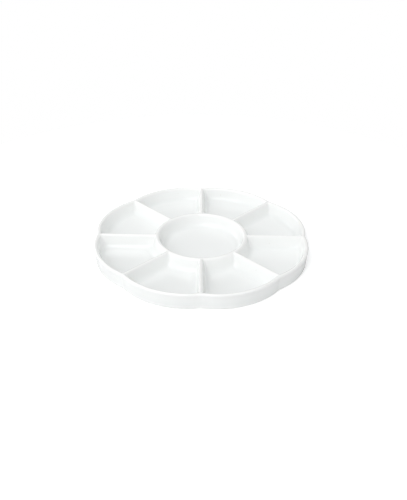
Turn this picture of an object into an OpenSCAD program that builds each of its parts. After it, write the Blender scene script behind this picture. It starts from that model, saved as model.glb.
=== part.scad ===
// Mixing palette: one fired porcelain casting under a thin coat of glaze.
// Eight wells sit around a round centre well, inside a rim with eight shallow lobes.
// The origin is the middle of the resting face, +Z is up, and a divider lies along +X.
// All sizes are of the glazed outside. The porcelain lies one glaze thickness under it.

/* [Outline] */
// Width across two opposite lobes of the rim
palette_w = 178; // [150:1:240]
// Height from the table to the crests
palette_h = 14; // [12:0.5:22]
// How far the rim dips in between two lobes
notch_depth = 3.4; // [2:0.2:5]
// How far the outer wall leans in from the crest to the table
wall_draft = 1.4; // [0.5:0.1:3]

/* [Wells] */
// Number of wells around the centre
well_count = 8; // [6:1:10]
// Height of the well floors above the table
floor_z = 3; // [2.8:0.1:5]
// Width of the rim's crest
rim_crest_w = 3.2; // [2:0.1:5]
// Width of the crests of the dividers and of the centre ring
crest_w = 2.6; // [2:0.1:4]
// Level distance that the rim's inner wall covers on its way down
rim_run = 8; // [3:0.5:10]
// Level distance that each side of a divider covers on its way down
divider_run = 5.5; // [2:0.5:7]

/* [Centre well] */
// Diameter of the centre ring, at the middle of its crest
ring_d = 72.6; // [60:0.2:80]
// Level distance that each side of the centre ring covers on its way down
ring_run = 7.5; // [3:0.5:9]

/* [Foot and glaze] */
// Width of the foot that follows the rim under the palette
foot_w = 6; // [4:0.5:10]
// Depth of the hollow inside the foot
foot_depth = 0.8; // [0.7:0.1:1.2]
// Thickness of the glaze
glaze_t = 0.3; // [0.2:0.05:0.4]
// Height above the table at which the glaze is wiped off the foot
glaze_edge = 0.5; // [0.3:0.1:0.6]

/* [Hidden] */
$fn = 96;
// How far a cutter runs past the surface that it opens
over = 1;
step_angle = 360 / well_count;
lobe_angles = [for (i = [0 : well_count - 1]) (i + 0.5) * step_angle];
divider_angles = [for (i = [0 : well_count - 1]) i * step_angle];

// Each lobe is an arc of radius lobe_r about a point lobe_offset from the middle.
// It passes through the lobe's outermost point and through the dips on both sides.
lobe_reach = palette_w / 2;
notch_reach = lobe_reach - notch_depth;
lobe_offset = (pow(lobe_reach, 2) - pow(notch_reach, 2))
    / (2 * (lobe_reach - notch_reach * cos(step_angle / 2)));
lobe_r = lobe_reach - lobe_offset;

well_depth = palette_h - floor_z;
divider_nodes = [for (i = [1 : well_count]) str("divider_", i)];

// How much further out the outer wall stands at height z than at the crests
function lean(z) = wall_draft * (z / palette_h - 1);

// Level growth of a wall with the given run when its surface moves by depth along its normal
function level_growth(depth, run) = depth * sqrt(1 + pow(run / well_depth, 2));

// Solid inside the lobed outline from z1 to z2, its wall moved in by inset
module lobed_block(z1, z2, inset) {
    for (a = lobe_angles)
        rotate([0, 0, a]) translate([lobe_offset, 0, z1])
            cylinder(h = z2 - z1, r1 = lobe_r + lean(z1) - inset, r2 = lobe_r + lean(z2) - inset);
}

// Cone between just under the well floors and just over the crests, of radius r at the crests.
// Its radius shrinks by run on the way down, or grows where run is negative.
module sloped_round(r, run, inset) {
    low = floor_z - inset;
    high = palette_h + over;
    slope = run / well_depth;
    translate([0, 0, low])
        cylinder(h = high - low, r1 = r + slope * (low - palette_h), r2 = r + slope * over);
}

// The space inside one lobe of the rim, about the +X axis
module lobe_space(inset) {
    translate([lobe_offset, 0, 0])
        sloped_round(lobe_r - rim_crest_w + level_growth(inset, rim_run), rim_run, inset);
}

// The space inside the whole rim, above the well floors
module rim_space(inset) {
    for (a = lobe_angles) rotate([0, 0, a]) lobe_space(inset);
}

// The round centre well
module centre_space(inset) {
    sloped_round((ring_d - crest_w) / 2 + level_growth(inset, ring_run), ring_run, inset);
}

// The centre ring with its centre still filled
module ring_block(inset) {
    sloped_round((ring_d + crest_w) / 2 - level_growth(inset, ring_run), -ring_run, inset);
}

// Half the width of a divider at height z
function divider_half(z, inset) =
    crest_w / 2 + divider_run * (palette_h - z) / well_depth - level_growth(inset, divider_run);

// A bar of a divider's section, from the middle of the palette outwards along +X
module divider_bar(inset) {
    low = floor_z - inset;
    high = palette_h + over;
    half_low = divider_half(low, inset);
    half_high = divider_half(high, inset);
    rotate([90, 0, 90]) linear_extrude(lobe_reach)
        polygon([[-half_low, low], [half_low, low], [half_high, high], [-half_high, high]]);
}

// The space on the +Y side of a divider that lies along +X
module divider_side(inset) {
    low = floor_z - inset;
    high = palette_h + over;
    half_low = divider_half(low, inset);
    half_high = divider_half(high, inset);
    rotate([90, 0, 90]) linear_extrude(lobe_reach)
        polygon([[half_low, low], [lobe_reach, low], [lobe_reach, high], [half_high, high]]);
}

// One well of the ring of wells, about the +X axis
module sector_well(inset) {
    difference() {
        intersection() {
            rotate([0, 0, -step_angle / 2]) divider_side(inset);
            rotate([0, 0, step_angle / 2]) mirror([0, 1, 0]) divider_side(inset);
            lobe_space(inset);
        }
        ring_block(inset);
    }
}

// The shallow hollow under the palette from z1 up to its ceiling, inside the foot
module foot_space(z1, inset) {
    for (a = lobe_angles)
        rotate([0, 0, a]) translate([lobe_offset, 0, z1])
            cylinder(h = foot_depth + inset - z1, r = lobe_r + lean(0) - foot_w + inset);
}

// The dish with its nine wells and a solid underside, from z1 up
module dish(z1, inset) {
    difference() {
        lobed_block(z1, palette_h - inset, inset);
        for (a = lobe_angles) rotate([0, 0, a]) sector_well(inset);
        centre_space(inset);
    }
}

// Everything from the porcelain's well floors up to its crests
module crest_slab() {
    translate([0, 0, floor_z - glaze_t]) cylinder(h = well_depth, r = lobe_reach);
}

// The band under the rim that the palette stands on, bare at its lowest edge
module foot_ring() {
    color("antiquewhite") difference() {
        lobed_block(0, foot_depth + glaze_t, glaze_t);
        foot_space(-over, glaze_t);
    }
}

// The plate under all nine wells
module well_floor() {
    color("white") lobed_block(foot_depth + glaze_t, floor_z - glaze_t, glaze_t);
}

// The lobed wall around the wells
module outer_rim() {
    color("whitesmoke") difference() {
        lobed_block(floor_z - glaze_t, palette_h - glaze_t, glaze_t);
        rim_space(glaze_t);
    }
}

// The round wall between the centre well and the others
module centre_ring() {
    color("ghostwhite") difference() {
        intersection() {
            ring_block(glaze_t);
            crest_slab();
        }
        centre_space(glaze_t);
    }
}

// The wall between two neighbouring wells
module divider(angle) {
    color("snow") difference() {
        intersection() {
            rotate([0, 0, angle]) divider_bar(glaze_t);
            rim_space(glaze_t);
            crest_slab();
        }
        ring_block(glaze_t);
    }
}

// The fired-on glass over the wells, the crests and the outer wall
module top_glaze() {
    color("azure") difference() {
        dish(glaze_edge, 0);
        dish(0, glaze_t);
    }
}

// The fired-on glass in the hollow inside the foot
module underside_glaze() {
    color("azure") difference() {
        foot_space(glaze_edge, glaze_t);
        foot_space(-over, 0);
    }
}

foot_ring();
well_floor();
outer_rim();
centre_ring();
for (i = [0 : well_count - 1])
    divider(divider_angles[i]);
top_glaze();
underside_glaze();
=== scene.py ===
"""Porcelain mixing palette: the regions of the one casting, and the glaze that covers it.

The wells, walls and crests come from one grid. Its rows run around the palette, and its columns
run outwards, so that crests, walls and rounded corners all lie along the grid. The foot and the
glaze under the palette are sections carried round the same outline.
"""

import math

import bmesh
import bpy
import numpy as np
from mathutils import Matrix, Vector


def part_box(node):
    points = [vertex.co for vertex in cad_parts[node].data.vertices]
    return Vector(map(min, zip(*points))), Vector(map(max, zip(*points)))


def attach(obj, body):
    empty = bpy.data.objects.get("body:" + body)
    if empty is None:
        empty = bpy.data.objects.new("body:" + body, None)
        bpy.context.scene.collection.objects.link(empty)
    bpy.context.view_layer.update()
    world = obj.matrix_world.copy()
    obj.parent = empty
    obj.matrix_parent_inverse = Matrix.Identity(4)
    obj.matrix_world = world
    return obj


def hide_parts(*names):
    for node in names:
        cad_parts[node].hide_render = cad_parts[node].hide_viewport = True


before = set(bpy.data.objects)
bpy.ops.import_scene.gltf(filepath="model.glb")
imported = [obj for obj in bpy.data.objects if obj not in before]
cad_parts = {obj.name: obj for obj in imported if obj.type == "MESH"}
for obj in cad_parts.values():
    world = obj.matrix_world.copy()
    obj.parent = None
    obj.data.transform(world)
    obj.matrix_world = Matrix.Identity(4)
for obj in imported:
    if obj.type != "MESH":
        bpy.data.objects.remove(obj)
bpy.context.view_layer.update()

MM = 0.001

# ---- Driving sizes, as in the CAD model ---------------------------------------------------
WELLS = 8
PALETTE_W = 178 * MM
RING_R = 36.3 * MM
WALL_DRAFT = 1.4 * MM
FOOT_W = 6 * MM
GLAZE_EDGE = 0.5 * MM

# ---- Heights, read from the frame ---------------------------------------------------------
CREST_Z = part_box("top_glaze")[1].z
GLAZE_T = CREST_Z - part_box("outer_rim")[1].z
FLOOR_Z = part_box("well_floor")[1].z + GLAZE_T
PLATE_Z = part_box("well_floor")[0].z
FOOT_DEPTH = PLATE_Z - GLAZE_T
WELL_DEPTH = CREST_Z - FLOOR_Z

# ---- Finer shape --------------------------------------------------------------------------
# How far the rim dips between two lobes, and the radius of that soft dip
NOTCH_DEPTH = 3.2 * MM
NOTCH_R = 14 * MM
# Radius of the outer half of the rim's crest
RIM_OUT_R = 1.4 * MM
# Walls of the wells: rounded crest, lean from upright, and fillet at the floor
CREST_R = 1.9 * MM
WALL_LEAN = math.radians(17)
FILLET_R = 5.5 * MM
CENTRE_FILLET_R = 6.5 * MM
# Dividers have the same section as the rim, made narrower
DIVIDER_SCALE = 0.85
# How much the floors sink towards the middle of a well, and over what distance
DISH = 0.1 * MM
DISH_REACH = 12 * MM
# A higher power leaves tighter corners where two walls meet
CORNER_POWER = 3.5
# Height at which the walls part from the plate, and the radius of the foot's edges
SPLIT_Z = 2.0 * MM
FOOT_EDGE_R = 0.8 * MM
# Slight unevenness of the casting: height of its main wave, and pitch in radians per metre
WARP = 0.05 * MM
WARP_PITCH = 45.0
# Edges that turn by more than this are shaded as creases
SHARP_ANGLE = math.radians(50)
# Where the glaze thins towards the crests, and where it pools, in shares of the wells' depth
THIN_FROM = 0.8
POOL_HEIGHT = 0.12
POOL_SPREAD = 0.14
# The glaze's depth on plain stretches, from 0 over a crest to 1 in a corner
EVEN_GLAZE = 0.45

# ---- Steps and points of the grid ---------------------------------------------------------
CREST_STEPS = 5
RIM_OUT_STEPS = CREST_STEPS + 2
SLOPE_STEPS = 4
FILLET_STEPS = 7
FLOOR_STEPS = 9
WALL_ROWS = 6
FOOT_EDGE_POINTS = 5
RECESS_POINTS = 4
# Rounds of the search for the columns' angles on the rim's crest
CREST_ROUNDS = 5
# Radius of the smallest row, around the point at the middle
POLE_R = 1.5 * MM
# Least distance to a wall, so that powers of it stay finite
TINY = 1e-7

# ---- Materials: colours, and scales in repeats per metre ----------------------------------
GLAZE_BY_DEPTH = [(0.0, (0.925, 0.925, 0.905)), (0.45, (0.915, 0.925, 0.910)), (1.0, (0.890, 0.908, 0.892))]
GLAZE_CLOUD = [(0.3, (0.975, 0.975, 0.975)), (0.7, (1.0, 1.0, 1.0))]
GLAZE_CLOUD_SCALE = 22
SPECK_MASK = [(0.0, (0, 0, 0)), (0.80, (0, 0, 0)), (0.82, (1, 1, 1))]
SPECK_SCALE = 900
SPECK_COLOR = (0.66, 0.62, 0.55)
GLAZE_ROUGHNESS = (0.10, 0.17)
GLAZE_ROUGHNESS_SCALE = 60
RIPPLE_SCALE = 260
PORCELAIN_TONE = [(0.3, (0.78, 0.755, 0.71)), (0.7, (0.86, 0.84, 0.80))]
PORCELAIN_TONE_SCALE = 70
PORCELAIN_GRAIN = [(0.35, (0.9, 0.9, 0.9)), (0.6, (1, 1, 1))]
PORCELAIN_GRAIN_SCALE = 2500
TABLE_TONE = [(0.3, (0.79, 0.79, 0.79)), (0.7, (0.81, 0.81, 0.81))]
CARD_TONE = [(0.3, (0.99, 0.99, 0.99)), (0.7, (1.0, 1.0, 1.0))]
PAPER_SCALE = 3
CARD_GLOW = 0.22

# ---- Stage, lights and camera -------------------------------------------------------------
TABLE_R = 4.0
CARD_R = 0.3
CARD_SIDES = 96
CARD_Z = 0.02 * MM
SURROUND_R = 6.0
LIGHT_COLOR = (0.985, 0.99, 1.0)
# Strength of the room's light in front and behind, and how far back a direction points
# where it starts and ends to fade
ROOM_FRONT = 0.73
ROOM_BEHIND = 0.2
FADE_START = 0.2
FADE_END = 0.8
# Name, azimuth and elevation in degrees, distance and width in metres, and brightness
SOFTBOXES = [
    ("key_softbox", 240, 50, 1.6, 1.4, 2.55),
    ("left_softbox", 150, 18, 0.5, 0.32, 1.65),
    ("front_left_softbox", 210, 18, 0.5, 0.32, 0.5),
    ("back_softbox", 90, 18, 0.5, 0.32, 0.45),
    ("back_right_softbox", 60, 40, 0.6, 0.4, 0.5),
]
CAMERA_AZIMUTH = math.radians(-0.05)
CAMERA_ELEVATION = math.radians(30.35)
CAMERA_DISTANCE = 619 * MM
CAMERA_PAN = math.radians(-0.171)
CAMERA_TILT = math.radians(-1.172)
CAMERA_ROLL = math.radians(0.72)
SENSOR_H = 36.0
LENS = 54.1

STEP = 2 * math.pi / WELLS
HALF_STEP = STEP / 2


# ---- Sections of the walls ----------------------------------------------------------------
class Wall:
    """The section of a wall: its drop below the crest at each level distance from the crest."""

    def __init__(self, fillet_r):
        self.fillet_r = fillet_r
        self.crest_end = CREST_R * math.cos(WALL_LEAN)
        self.crest_end_drop = CREST_R * (math.sin(WALL_LEAN) - 1)
        slope_end_drop = fillet_r * (1 - math.sin(WALL_LEAN)) - WELL_DEPTH
        self.slope_end = self.crest_end + (self.crest_end_drop - slope_end_drop) * math.tan(WALL_LEAN)
        self.fillet_end = self.slope_end + fillet_r * math.cos(WALL_LEAN)

    def drop(self, d):
        """Height of the surface from the crest, at level distance d from it: 0 or below."""
        crest = np.sqrt(np.maximum(CREST_R**2 - d**2, 0)) - CREST_R
        slope = self.crest_end_drop - (d - self.crest_end) / math.tan(WALL_LEAN)
        to_end = np.clip(self.fillet_end - d, 0, self.fillet_r)
        fillet = self.fillet_r - np.sqrt(self.fillet_r**2 - to_end**2) - WELL_DEPTH
        past_end = np.maximum(d - self.fillet_end, 0)
        floor = DISH * (np.exp(-((past_end / DISH_REACH) ** 2)) - 1) - WELL_DEPTH
        inner = np.where(d < self.fillet_end, fillet, floor)
        return np.where(d < self.crest_end, crest, np.where(d < self.slope_end, slope, inner))

    def stations(self):
        """Distances from the crest to the floor, closer together where the section bends."""
        turn = math.pi / 2 - WALL_LEAN
        crest = CREST_R * np.sin(turn * np.arange(CREST_STEPS + 1) / CREST_STEPS)
        slope = np.linspace(self.crest_end, self.slope_end, SLOPE_STEPS + 1)[1:]
        bend = WALL_LEAN + turn * np.arange(1, FILLET_STEPS + 1) / FILLET_STEPS
        fillet = self.fillet_end - self.fillet_r * np.cos(bend)
        return np.concatenate([crest, slope, fillet])


WALL = Wall(FILLET_R)
CENTRE_WALL = Wall(CENTRE_FILLET_R)
# Distances of the grid's columns from the middle of a divider
BESIDE = WALL.stations() * DIVIDER_SCALE


# ---- Outline of the rim -------------------------------------------------------------------
LOBE_REACH = PALETTE_W / 2
NOTCH_CENTRE = LOBE_REACH - NOTCH_DEPTH + NOTCH_R
LOBE_FAR = LOBE_REACH + NOTCH_R
LOBE_CENTRE = (LOBE_FAR**2 - NOTCH_CENTRE**2) / (2 * (LOBE_FAR - NOTCH_CENTRE * math.cos(HALF_STEP)))
LOBE_R = LOBE_REACH - LOBE_CENTRE
LOBE_X = LOBE_CENTRE * math.cos(HALF_STEP)
LOBE_Y = LOBE_CENTRE * math.sin(HALF_STEP)
# The middle of the rim's crest, from its outermost line
CREST_OUT = -RIM_OUT_R


def from_divider(angle):
    """Angle from the nearest divider."""
    a = np.mod(angle, STEP)
    return np.minimum(a, STEP - a)


def outline_radius(angle, out):
    """Distance from the middle to the rim's outline, moved out by out from its outermost line."""
    a = from_divider(angle)
    lobe_r, notch_r = LOBE_R + out, NOTCH_R - out
    b = HALF_STEP - a
    lobe = LOBE_CENTRE * np.cos(b) + np.sqrt(lobe_r**2 - (LOBE_CENTRE * np.sin(b)) ** 2)
    notch = NOTCH_CENTRE * np.cos(a) - np.sqrt(np.maximum(notch_r**2 - (NOTCH_CENTRE * np.sin(a)) ** 2, 0))
    share = notch_r / math.hypot(NOTCH_CENTRE - LOBE_X, LOBE_Y)
    touch_x = NOTCH_CENTRE + (LOBE_X - NOTCH_CENTRE) * share
    return np.where(a < math.atan2(LOBE_Y * share, touch_x), notch, lobe)


def rim_distance(radius, angle):
    """Distance from a point in the wells to the middle of the rim's crest."""
    a = from_divider(angle)
    x, y = radius * np.cos(a), radius * np.sin(a)
    lobe = LOBE_R + CREST_OUT - np.hypot(x - LOBE_X, y - LOBE_Y)
    notch = np.hypot(x - NOTCH_CENTRE, y) - (NOTCH_R - CREST_OUT)
    faces_notch = (x - LOBE_X) * LOBE_Y + (y - LOBE_Y) * (NOTCH_CENTRE - LOBE_X) < 0
    return np.where(faces_notch & (x > LOBE_X), notch, lobe)


def surface_z(radius, angle):
    """Height of the glazed surface at a point inside the rim's crest."""
    walls = [
        np.maximum(radius - RING_R, TINY),
        np.maximum(rim_distance(radius, angle), TINY),
        np.maximum(radius * np.sin(from_divider(angle)) / DIVIDER_SCALE, TINY),
    ]
    nearest = sum(w**-CORNER_POWER for w in walls) ** (-1 / CORNER_POWER)
    in_centre = CENTRE_WALL.drop(np.maximum(RING_R - radius, 0))
    return CREST_Z + np.where(radius > RING_R, WALL.drop(nearest), in_centre)


# ---- Rows of the grid ---------------------------------------------------------------------
HALF_COLUMNS = len(BESIDE) + FLOOR_STEPS
SECTOR_COLUMNS = 2 * HALF_COLUMNS - 2
COLUMNS = WELLS * SECTOR_COLUMNS
COLUMN = np.arange(COLUMNS) % SECTOR_COLUMNS
SECTOR = np.arange(COLUMNS) // SECTOR_COLUMNS
MIRRORED = COLUMN >= HALF_COLUMNS
HALF_COLUMN = np.where(MIRRORED, SECTOR_COLUMNS - COLUMN, COLUMN)


def column_angles(radius):
    """Angle of every column at a radius. The columns beside a divider keep their distance from it."""
    last = len(BESIDE) - 1
    near = np.arcsin(BESIDE[np.minimum(HALF_COLUMN, last)] / radius)
    widest = np.arcsin(BESIDE[last] / radius)
    share = np.clip((HALF_COLUMN - last) / FLOOR_STEPS, 0, 1)
    a = np.where(HALF_COLUMN <= last, near, widest + (HALF_STEP - widest) * share)
    return SECTOR * STEP + np.where(MIRRORED, STEP - a, a)


def polar_row(radius, angle, z):
    """Points at these distances and angles around the axis, at height z."""
    return np.stack(np.broadcast_arrays(radius * np.cos(angle), radius * np.sin(angle), z), axis=1)


def crest_angles():
    """Column angles on the rim's crest, whose radius depends on the angle itself."""
    angles = column_angles(LOBE_REACH)
    for _ in range(CREST_ROUNDS):
        angles = column_angles(outline_radius(angles, CREST_OUT))
    return angles


RIM_ANGLES = crest_angles()
RIM_R = outline_radius(RIM_ANGLES, CREST_OUT)
RING_ANGLES = column_angles(RING_R)


def section_rows(section):
    """One row for each (out, z) of a section of the rim."""
    return [polar_row(outline_radius(RIM_ANGLES, out), RIM_ANGLES, z) for out, z in section]


def wall_out(z):
    """Where the outer wall stands at height z, from its outermost line."""
    return WALL_DRAFT * (z / CREST_Z - 1)


def centre_rows():
    """Rows from near the middle out to just inside the ring's crest."""
    down = CENTRE_WALL.stations()[:0:-1]
    radii = list(np.linspace(POLE_R, RING_R - down[0], FLOOR_STEPS)[:-1]) + list(RING_R - down)
    return [polar_row(r, RING_ANGLES, surface_z(r, RING_ANGLES)) for r in radii]


def well_rows():
    """Rows from the ring's crest out to the rim's crest."""
    stations = WALL.stations()
    first, last = RING_R + stations[-1], RIM_R - stations[-1]
    radii = [RING_R + d for d in stations]
    radii += [first + (last - first) * share for share in np.linspace(0, 1, 2 * FLOOR_STEPS)[1:-1]]
    radii += [RIM_R - d for d in stations[::-1]]
    return [polar_row(r, column_angles(r), surface_z(r, column_angles(r))) for r in radii]


def outer_section():
    """The section over the outer half of the rim's crest and down the wall to the glaze's edge."""
    draft = math.atan(WALL_DRAFT / CREST_Z)
    turns = np.linspace(math.pi / 2, -draft, RIM_OUT_STEPS + 1)[1:]
    section = [
        (CREST_OUT + RIM_OUT_R * math.cos(t), CREST_Z + RIM_OUT_R * (math.sin(t) - 1)) for t in turns
    ]
    levels = list(np.linspace(section[-1][1], SPLIT_Z, WALL_ROWS + 1)[1:]) + [PLATE_Z, GLAZE_EDGE]
    return section + [(wall_out(z), z) for z in levels]


def grid_normals(grid):
    """Outward normal at each point of a grid whose rows close on themselves."""
    along = np.gradient(grid, axis=0)
    around = np.roll(grid, -1, axis=1) - np.roll(grid, 1, axis=1)
    normal = np.cross(along, around)
    return normal / np.linalg.norm(normal, axis=2, keepdims=True)


def warp(grid):
    """The slight unevenness of a casting: waves that never line up, and fade out towards the foot."""
    x, y, z = grid[..., 0], grid[..., 1], grid[..., 2]
    wave = np.sin(WARP_PITCH * x + 0.7) * np.cos(0.8 * WARP_PITCH * y - 0.4)
    wave += 0.6 * np.sin(1.7 * WARP_PITCH * (x + 0.6 * y) + 2.1)
    raised = np.clip(z / CREST_Z, 0, 1)
    out = grid.copy()
    out[..., 2] += WARP * wave * raised
    return out


CENTRE = centre_rows()
WELL = well_rows()
OUTER = section_rows(outer_section())
GLAZED = warp(np.array(CENTRE + WELL + OUTER))
BODY = GLAZED - GLAZE_T * grid_normals(GLAZED)

# Row numbers that part the regions
RING_IN = FLOOR_STEPS - 1
RING_OUT = len(CENTRE) + len(BESIDE) - 1
RIM_IN = len(CENTRE) + len(WELL) - len(BESIDE)
WALL_SPLIT = len(CENTRE) + len(WELL) + RIM_OUT_STEPS + WALL_ROWS - 1


def at_height(row, z):
    """A copy of a row, laid level at height z."""
    flat = row.copy()
    flat[:, 2] = z
    return flat


# ---- Meshes -------------------------------------------------------------------------------
def finish_mesh(name, verts, faces, node, material):
    """A closed, smooth-shaded piece that replaces one CAD node."""
    mesh = bpy.data.meshes.new(name)
    mesh.from_pydata([tuple(v) for v in verts], [], faces)
    bm = bmesh.new()
    bm.from_mesh(mesh)
    bmesh.ops.recalc_face_normals(bm, faces=bm.faces)
    bm.to_mesh(mesh)
    bm.free()
    mesh.shade_smooth()
    mesh.set_sharp_from_angle(angle=SHARP_ANGLE)
    mesh.materials.append(material)
    piece = bpy.data.objects.new(name, mesh)
    bpy.context.scene.collection.objects.link(piece)
    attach(piece, "root")
    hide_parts(node)
    return piece


def strip_faces(row_count, closed):
    """Quads between neighbouring rows, and from the last row to the first if closed."""
    faces = []
    for i in range(row_count if closed else row_count - 1):
        here, there = i * COLUMNS, (i + 1) % row_count * COLUMNS
        for j in range(COLUMNS):
            k = (j + 1) % COLUMNS
            faces.append((here + j, here + k, there + k, there + j))
    return faces


def fan(row_start, pole):
    """Triangles from a row to a point."""
    return [(row_start + j, row_start + (j + 1) % COLUMNS, pole) for j in range(COLUMNS)]


def tube_mesh(rows):
    """A closed ring whose section is the loop of rows."""
    return np.concatenate(rows), strip_faces(len(rows), closed=True)


def shell_mesh(rows, first_z, last_z):
    """A closed solid whose first and last rows both end in a point on the axis."""
    verts = np.concatenate(rows + [np.array([[0, 0, first_z], [0, 0, last_z]])])
    last_row = (len(rows) - 1) * COLUMNS
    first_pole = len(rows) * COLUMNS
    faces = strip_faces(len(rows), closed=False)
    return verts, faces + fan(0, first_pole) + fan(last_row, first_pole + 1)


def block_mesh(top, bottom):
    """A closed block between two patches of the same rows and columns."""
    rows, columns = top.shape[:2]
    count = rows * columns
    verts = np.concatenate([top.reshape(-1, 3), bottom.reshape(-1, 3)])
    faces = []
    for i in range(rows - 1):
        for j in range(columns - 1):
            a = i * columns + j
            quad = (a, a + 1, a + columns + 1, a + columns)
            faces += [quad, tuple(count + v for v in quad)]
    edge = list(range(columns))
    edge += [i * columns + columns - 1 for i in range(1, rows)]
    edge += [(rows - 1) * columns + j for j in range(columns - 2, -1, -1)]
    edge += [i * columns for i in range(rows - 2, 0, -1)]
    for a, b in zip(edge, edge[1:] + edge[:1]):
        faces.append((a, b, count + b, count + a))
    return verts, faces


def stepped_plate_mesh():
    """The plate: it rises to the well floors, and is cut down flat under the walls."""
    rows = [BODY[i] for i in range(RIM_IN + 1)] + [BODY[WALL_SPLIT]]
    raised = HALF_COLUMN >= len(BESIDE)
    raised_cell = raised | np.roll(raised, -1)
    verts, index, faces = [], {}, []

    def vertex(i, j, high):
        key = (i, j % COLUMNS, high)
        if key not in index:
            x, y, z = rows[i][j % COLUMNS]
            index[key] = len(verts)
            verts.append((x, y, z if high else SPLIT_Z))
        return index[key]

    def is_high(i, j):
        if i < RING_IN:
            return True
        return RING_OUT <= i < RIM_IN and bool(raised_cell[j % COLUMNS])

    for i in range(len(rows) - 1):
        for j in range(COLUMNS):
            high = is_high(i, j)
            corners = [(i, j), (i, j + 1), (i + 1, j + 1), (i + 1, j)]
            faces.append(tuple(vertex(r, c, high) for r, c in corners))
            # A wall closes the step to a neighbour of another height
            for other, (a, b) in ((is_high(i, j + 1), corners[1:3]), (is_high(i + 1, j), corners[2:4])):
                if other != high and (b != corners[3] or i + 1 < len(rows) - 1):
                    faces.append((vertex(*a, high), vertex(*b, high), vertex(*b, other), vertex(*a, other)))
    pole = len(verts)
    verts.append((0, 0, rows[0][0][2]))
    faces += [(vertex(0, j, True), vertex(0, j + 1, True), pole) for j in range(COLUMNS)]
    low_edge = len(verts)
    verts += [tuple(v) for v in at_height(BODY[WALL_SPLIT + 1], PLATE_Z)]
    last = len(rows) - 1
    for j in range(COLUMNS):
        k = (j + 1) % COLUMNS
        faces.append((vertex(last, j, False), vertex(last, j + 1, False), low_edge + k, low_edge + j))
    under = len(verts)
    verts.append((0, 0, PLATE_Z))
    faces += [(low_edge + j, low_edge + (j + 1) % COLUMNS, under) for j in range(COLUMNS)]
    return np.array(verts), faces


def foot_rows():
    """The bare foot: down the outer wall, round onto the table, and up into the hollow."""
    inner = wall_out(0) - FOOT_W + GLAZE_T
    turns = np.linspace(0, -math.pi / 2, FOOT_EDGE_POINTS)
    rounding = [(FOOT_EDGE_R * math.cos(t), FOOT_EDGE_R * (1 + math.sin(t))) for t in turns]
    outer_centre = wall_out(FOOT_EDGE_R) - GLAZE_T - FOOT_EDGE_R
    inner_centre = inner + FOOT_EDGE_R
    section = [(wall_out(PLATE_Z) - GLAZE_T, PLATE_Z)]
    section += [(outer_centre + across, z) for across, z in rounding]
    section += [(inner_centre - across, z) for across, z in rounding[::-1]]
    section.append((inner, PLATE_Z))
    return section_rows(section)


def underside_rows():
    """The glaze in the hollow under the palette: the seen side, then the side on the porcelain."""
    wall = wall_out(0) - FOOT_W
    turns = np.linspace(0, math.pi / 2, RECESS_POINTS)
    fillet_r = FOOT_DEPTH - GLAZE_EDGE
    seen = [(wall - fillet_r * (1 - math.cos(t)), FOOT_DEPTH - fillet_r * (1 - math.sin(t))) for t in turns]
    backed = [(wall + GLAZE_T, PLATE_Z), (wall + GLAZE_T, GLAZE_EDGE)]
    shares = np.linspace(POLE_R / RING_R, 1, FLOOR_STEPS)[:-1]
    ceiling = section_rows(seen)[-1]
    inner = [at_height(ceiling * s, FOOT_DEPTH) for s in shares]
    back = section_rows(backed)
    outer = [at_height(back[0] * s, PLATE_Z) for s in shares]
    return inner + section_rows(seen)[::-1] + back[::-1] + outer[::-1]


# ---- Materials ----------------------------------------------------------------------------
def new_material(name):
    """A material with its nodes, its links and its shader."""
    material = bpy.data.materials.new(name)
    material.use_nodes = True
    nodes, links = material.node_tree.nodes, material.node_tree.links
    return material, nodes, links, nodes["Principled BSDF"]


def noise(nodes, links, scale, detail):
    """Noise over the object's own coordinates, with about this many repeats per metre."""
    place = nodes.new("ShaderNodeTexCoord")
    texture = nodes.new("ShaderNodeTexNoise")
    texture.inputs["Scale"].default_value = scale
    texture.inputs["Detail"].default_value = detail
    links.new(place.outputs["Object"], texture.inputs["Vector"])
    return texture


def ramp(nodes, links, source, stops):
    """Colours by the source's value: stops are (value, colour)."""
    node = nodes.new("ShaderNodeValToRGB")
    while len(node.color_ramp.elements) < len(stops):
        node.color_ramp.elements.new(1)
    for element, (place, colour) in zip(node.color_ramp.elements, stops):
        element.position = place
        element.color = (*colour, 1)
    links.new(source, node.inputs["Fac"])
    return node


def mix(nodes, links, kind, factor, a, b):
    """Mixes colour a with b, which is an output or a plain colour."""
    node = nodes.new("ShaderNodeMix")
    node.data_type = "RGBA"
    node.blend_type = kind
    if isinstance(factor, float):
        node.inputs["Factor"].default_value = factor
    else:
        links.new(factor, node.inputs["Factor"])
    links.new(a, node.inputs["A"])
    if isinstance(b, tuple):
        node.inputs["B"].default_value = (*b, 1)
    else:
        links.new(b, node.inputs["B"])
    return node.outputs["Result"]


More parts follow.
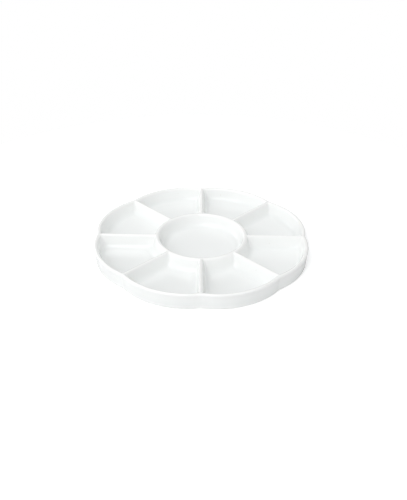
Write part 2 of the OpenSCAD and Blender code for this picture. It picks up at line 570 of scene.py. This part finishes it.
def glaze_material():
    """Clear glaze over white porcelain: slightly greener where it pools, and warmer where it thins."""
    material, nodes, links, shader = new_material("clear_glaze")
    pool = nodes.new("ShaderNodeAttribute")
    pool.attribute_name = "glaze_depth"
    depth = ramp(nodes, links, pool.outputs["Fac"], GLAZE_BY_DEPTH)
    drift = noise(nodes, links, GLAZE_CLOUD_SCALE, detail=3)
    cloud = ramp(nodes, links, drift.outputs["Fac"], GLAZE_CLOUD)
    body = mix(nodes, links, "MULTIPLY", 1.0, depth.outputs["Color"], cloud.outputs["Color"])
    speck = ramp(nodes, links, noise(nodes, links, SPECK_SCALE, detail=1).outputs["Fac"], SPECK_MASK)
    colour = mix(nodes, links, "MIX", speck.outputs["Color"], body, SPECK_COLOR)
    links.new(colour, shader.inputs["Base Color"])
    smooth = nodes.new("ShaderNodeMapRange")
    smooth.inputs["To Min"].default_value = GLAZE_ROUGHNESS[0]
    smooth.inputs["To Max"].default_value = GLAZE_ROUGHNESS[1]
    links.new(noise(nodes, links, GLAZE_ROUGHNESS_SCALE, detail=4).outputs["Fac"], smooth.inputs["Value"])
    links.new(smooth.outputs["Result"], shader.inputs["Roughness"])
    shader.inputs["IOR"].default_value = 1.52
    shader.inputs["Subsurface Weight"].default_value = 0.12
    shader.inputs["Subsurface Radius"].default_value = (1.0, 0.95, 0.9)
    shader.inputs["Subsurface Scale"].default_value = 0.0015
    shader.inputs["Coat Weight"].default_value = 0.12
    shader.inputs["Coat Roughness"].default_value = 0.03
    ripple = nodes.new("ShaderNodeBump")
    ripple.inputs["Strength"].default_value = 0.12
    ripple.inputs["Distance"].default_value = 0.0002
    links.new(noise(nodes, links, RIPPLE_SCALE, detail=2).outputs["Fac"], ripple.inputs["Height"])
    links.new(ripple.outputs["Normal"], shader.inputs["Normal"])
    return material


def porcelain_material():
    """Bare fired porcelain: matt and finely grained."""
    material, nodes, links, shader = new_material("bare_porcelain")
    cloud = noise(nodes, links, PORCELAIN_TONE_SCALE, detail=5)
    tone = ramp(nodes, links, cloud.outputs["Fac"], PORCELAIN_TONE)
    grit = noise(nodes, links, PORCELAIN_GRAIN_SCALE, detail=2)
    grain = ramp(nodes, links, grit.outputs["Fac"], PORCELAIN_GRAIN)
    colour = mix(nodes, links, "MULTIPLY", 1.0, tone.outputs["Color"], grain.outputs["Color"])
    links.new(colour, shader.inputs["Base Color"])
    shader.inputs["Roughness"].default_value = 0.75
    shader.inputs["Subsurface Weight"].default_value = 0.1
    shader.inputs["Subsurface Scale"].default_value = 0.001
    rough = nodes.new("ShaderNodeBump")
    rough.inputs["Strength"].default_value = 0.35
    rough.inputs["Distance"].default_value = 0.0001
    links.new(noise(nodes, links, PORCELAIN_GRAIN_SCALE, detail=3).outputs["Fac"], rough.inputs["Height"])
    links.new(rough.outputs["Normal"], shader.inputs["Normal"])
    return material


def paper_material(name, tone):
    """Matt paper without any gloss."""
    material, nodes, links, shader = new_material(name)
    paper = ramp(nodes, links, noise(nodes, links, PAPER_SCALE, detail=2).outputs["Fac"], tone)
    links.new(paper.outputs["Color"], shader.inputs["Base Color"])
    shader.inputs["Roughness"].default_value = 0.9
    shader.inputs["Specular IOR Level"].default_value = 0.0
    return material, nodes, links, shader


def card_material():
    """Bright paper that takes the shadow at the foot. It is clear from below, so the foot can be seen."""
    material, nodes, links, shader = paper_material("white_card_top", CARD_TONE)
    shader.inputs["Emission Color"].default_value = (1, 1, 1, 1)
    shader.inputs["Emission Strength"].default_value = CARD_GLOW
    side = nodes.new("ShaderNodeNewGeometry")
    clear = nodes.new("ShaderNodeBsdfTransparent")
    either = nodes.new("ShaderNodeMixShader")
    links.new(side.outputs["Backfacing"], either.inputs["Fac"])
    links.new(shader.outputs["BSDF"], either.inputs[1])
    links.new(clear.outputs["BSDF"], either.inputs[2])
    links.new(either.outputs["Shader"], nodes["Material Output"].inputs["Surface"])
    return material


def surround_material():
    """Even white, with no light and shade on it."""
    material, *_, shader = new_material("white_surround")
    shader.inputs["Base Color"].default_value = (0, 0, 0, 1)
    shader.inputs["Specular IOR Level"].default_value = 0.0
    shader.inputs["Emission Color"].default_value = (1, 1, 1, 1)
    shader.inputs["Emission Strength"].default_value = 1.0
    return material


# ---- Pieces -------------------------------------------------------------------------------
def glaze_depth(grid):
    """How thick the glaze lies: 0 over a crest, 1 in the corner between a wall and a floor."""
    height = (grid[..., 2] - FLOOR_Z) / WELL_DEPTH
    crest = np.clip((height - THIN_FROM) / (1 - THIN_FROM), 0, 1)
    corner = np.exp(-(((height - POOL_HEIGHT) / POOL_SPREAD) ** 2))
    return np.clip(EVEN_GLAZE * (1 - crest) + (1 - EVEN_GLAZE) * corner, 0, 1)


def add_glaze_depth(piece, values):
    """Gives a piece the glaze's depth at its first vertices, and the even depth at the others."""
    attribute = piece.data.attributes.new("glaze_depth", "FLOAT", "POINT")
    filled = np.full(len(piece.data.vertices), EVEN_GLAZE, np.float32)
    filled[: len(values)] = values
    attribute.data.foreach_set("value", filled)


def build_glaze(material):
    """The two coats of glaze."""
    outer, inner = list(GLAZED), list(BODY)
    last_outer = at_height(outer[-1], GLAZE_EDGE)
    last_inner = at_height(inner[-1], GLAZE_EDGE)
    rows = outer[:-1] + [last_outer, last_inner] + inner[-2::-1]
    verts, faces = shell_mesh(rows, outer[0][0][2], inner[0][0][2])
    top = finish_mesh("top_glaze_coat", verts, faces, "top_glaze", material)
    add_glaze_depth(top, glaze_depth(GLAZED).ravel())
    rows = underside_rows()
    verts, faces = shell_mesh(rows, FOOT_DEPTH, PLATE_Z)
    under = finish_mesh("underside_glaze_coat", verts, faces, "underside_glaze", material)
    add_glaze_depth(under, [])


def build_body(material):
    """The regions of the casting. They meet along grid lines and level cuts."""
    split = [at_height(row, SPLIT_Z) for row in BODY]
    ring = [split[RING_IN]] + list(BODY[RING_IN : RING_OUT + 1]) + [split[RING_OUT]]
    rim = [split[RIM_IN]] + list(BODY[RIM_IN:WALL_SPLIT]) + [split[WALL_SPLIT]]
    shapes = {
        "centre_ring": tube_mesh(ring),
        "outer_rim": tube_mesh(rim),
        "well_floor": stepped_plate_mesh(),
        "foot_ring": tube_mesh(foot_rows()),
    }
    reach = len(BESIDE) - 1
    patch = BODY[RING_OUT : RIM_IN + 1]
    low = np.array(split[RING_OUT : RIM_IN + 1])
    for number in range(WELLS):
        columns = np.arange(-reach, reach + 1) + number * SECTOR_COLUMNS
        shapes[f"divider_{number + 1}"] = block_mesh(patch[:, columns % COLUMNS], low[:, columns % COLUMNS])
    for node, (verts, faces) in shapes.items():
        finish_mesh("porcelain_" + node, verts, faces, node, material)


# ---- Scene --------------------------------------------------------------------------------
def build_stage():
    """The white table, the card on it, and a plain white surround.

    The table sends light back up but isn't seen itself, and only the camera sees the card and
    the surround. The table is open inside the line where the foot touches it, so that the
    room's light also reaches the underside.
    """
    edge = wall_out(0) - GLAZE_T - FOOT_EDGE_R
    rows = section_rows([(edge, 0.0)]) + [polar_row(TABLE_R, RIM_ANGLES, 0.0)]
    mesh = bpy.data.meshes.new("table")
    mesh.from_pydata([tuple(v) for v in np.concatenate(rows)], [], strip_faces(len(rows), closed=False))
    mesh.materials.append(paper_material("white_card", TABLE_TONE)[0])
    table = bpy.data.objects.new("table", mesh)
    bpy.context.scene.collection.objects.link(table)
    table.visible_camera = False
    bpy.ops.mesh.primitive_circle_add(
        vertices=CARD_SIDES, radius=CARD_R, fill_type="NGON", location=(0, 0, CARD_Z)
    )
    card = bpy.context.object
    card.name = "card"
    card.data.materials.append(card_material())
    bpy.ops.mesh.primitive_uv_sphere_add(radius=SURROUND_R)
    surround = bpy.context.object
    surround.name = "surround"
    surround.data.materials.append(surround_material())
    for backdrop in (card, surround):
        backdrop.visible_diffuse = False
        backdrop.visible_glossy = False
        backdrop.visible_transmission = False
        backdrop.visible_shadow = False


def build_softbox(name, azimuth, elevation, distance, width, brightness):
    """A round softbox that faces the palette. The camera doesn't see it."""
    disc_area = math.pi * width**2 / 4
    data = bpy.data.lights.new(name, "AREA")
    data.shape = "DISK"
    data.size = width
    data.color = LIGHT_COLOR
    data.energy = brightness * math.pi * disc_area
    a, e = math.radians(azimuth), math.radians(elevation)
    place = distance * Vector((math.cos(e) * math.cos(a), math.cos(e) * math.sin(a), math.sin(e)))
    light = bpy.data.objects.new(name, data)
    light.location = place
    light.rotation_euler = (-place).to_track_quat("-Z", "Y").to_euler()
    light.visible_camera = False
    bpy.context.scene.collection.objects.link(light)


def build_world():
    """The room's soft light, dimmer from behind the palette."""
    world = bpy.data.worlds.new("studio")
    world.use_nodes = True
    nodes, links = world.node_tree.nodes, world.node_tree.links
    back = nodes["Background"]
    back.inputs["Color"].default_value = (*LIGHT_COLOR, 1)
    place = nodes.new("ShaderNodeTexCoord")
    split = nodes.new("ShaderNodeSeparateXYZ")
    fade = nodes.new("ShaderNodeMapRange")
    fade.interpolation_type = "SMOOTHSTEP"
    fade.inputs["From Min"].default_value = FADE_START
    fade.inputs["From Max"].default_value = FADE_END
    fade.inputs["To Min"].default_value = ROOM_FRONT
    fade.inputs["To Max"].default_value = ROOM_BEHIND
    links.new(place.outputs["Generated"], split.inputs["Vector"])
    links.new(split.outputs["Y"], fade.inputs["Value"])
    links.new(fade.outputs["Result"], back.inputs["Strength"])
    bpy.context.scene.world = world


def build_camera():
    """Looks at the middle of the crests, then turns slightly, so that the palette sits off centre."""
    data = bpy.data.cameras.new("camera")
    data.sensor_fit = "VERTICAL"
    data.sensor_height = SENSOR_H
    data.lens = LENS
    camera = bpy.data.objects.new("camera", data)
    bpy.context.scene.collection.objects.link(camera)
    level = Matrix.Rotation(CAMERA_AZIMUTH, 3, "Z")
    forward = level @ Vector((0, math.cos(CAMERA_ELEVATION), -math.sin(CAMERA_ELEVATION)))
    right = level @ Vector((1, 0, 0))
    up = right.cross(forward)
    place = Vector((0, 0, CREST_Z)) - forward * CAMERA_DISTANCE
    aim = (forward - right * math.tan(CAMERA_PAN) + up * math.tan(CAMERA_TILT)).normalized()
    side = aim.cross(Vector((0, 0, 1))).normalized()
    top = side.cross(aim)
    cos, sin = math.cos(CAMERA_ROLL), math.sin(CAMERA_ROLL)
    side, top = cos * side + sin * top, cos * top - sin * side
    turn = Matrix((side, top, -aim)).transposed()
    camera.matrix_world = Matrix.Translation(place) @ turn.to_4x4()
    bpy.context.scene.camera = camera


scene = bpy.context.scene
scene.view_settings.view_transform = "Standard"
scene.view_settings.look = "None"

build_camera()
build_glaze(glaze_material())
build_body(porcelain_material())
build_stage()
build_world()
for settings in SOFTBOXES:
    build_softbox(*settings)
